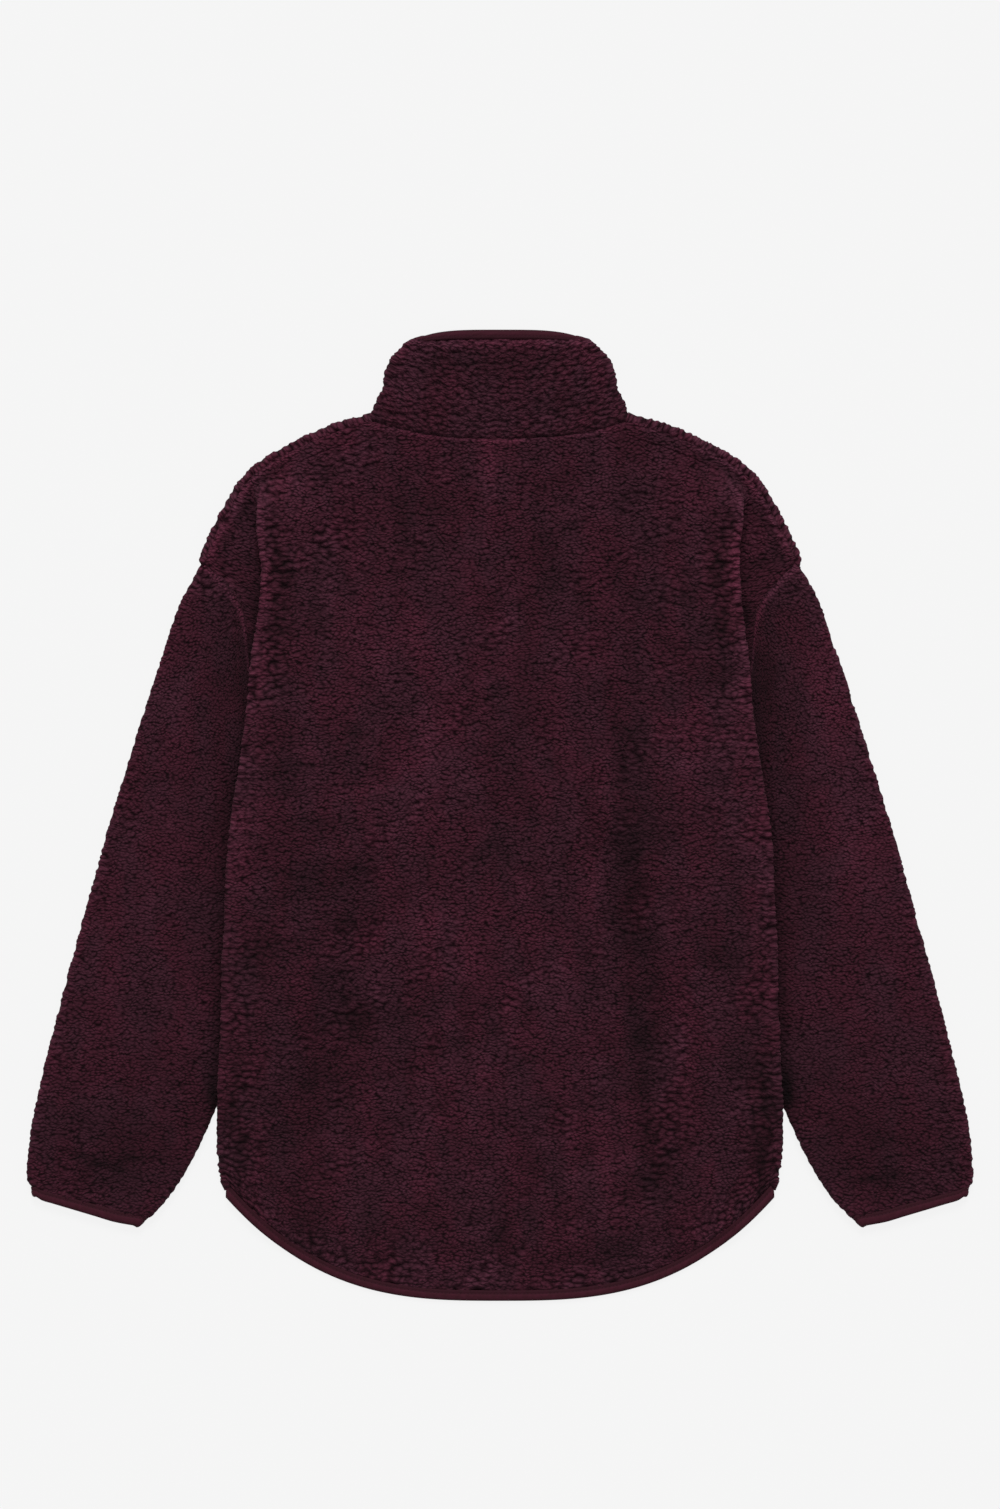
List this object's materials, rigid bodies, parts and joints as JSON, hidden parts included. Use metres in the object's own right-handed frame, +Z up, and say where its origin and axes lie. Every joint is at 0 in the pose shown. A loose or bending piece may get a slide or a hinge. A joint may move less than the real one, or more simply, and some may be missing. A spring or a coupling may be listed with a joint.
{
  "type": "pile fleece jacket laid flat, back up",
  "caption": "Loose pile-fleece zip jacket with a stand collar, dropped shoulders, curved hem and bound edges, laid flat with its back up and its sleeves tucked under the body.",
  "frame": {"origin": "on the surface it lies on, under the middle of the whole outline", "axes": "+Z up out of the surface, +Y from hem to collar, +X towards the wearer's right sleeve, which is on the right with the back up"},
  "size_m": [0.7608, 0.7793, 0.0197],
  "materials": {
    "pile_fleece": "curly matt pile",
    "binding_tape": "smooth matt tape",
    "zip_tape": "matt woven tape",
    "zip_teeth": "satin moulded",
    "zip_metal": "dark satin"
  },
  "bodies": {
    "jacket": {"back_panel": "pile_fleece", "front_panel_left": "pile_fleece", "front_panel_right": "pile_fleece", "sleeve_left": "pile_fleece", "sleeve_right": "pile_fleece", "collar": "pile_fleece", "collar_binding": "binding_tape", "hem_binding_back": "binding_tape", "hem_binding_front_left": "binding_tape", "hem_binding_front_right": "binding_tape", "cuff_binding_left": "binding_tape", "cuff_binding_right": "binding_tape", "zip_tape_left": "zip_tape", "zip_tape_right": "zip_tape", "zip_chain": "zip_teeth", "zip_slider": "zip_metal"},
    "pull_tab": {"zip_pull_tab": "zip_metal"}
  },
  "joints": [
    {"name": "pull_tab_hinge", "type": "hinge", "parent": "jacket", "child": "pull_tab", "pos_m": [0, 0.32509, 0.0019], "axis": [1, 0, 0], "range_deg": [0, 150]}
  ]
}
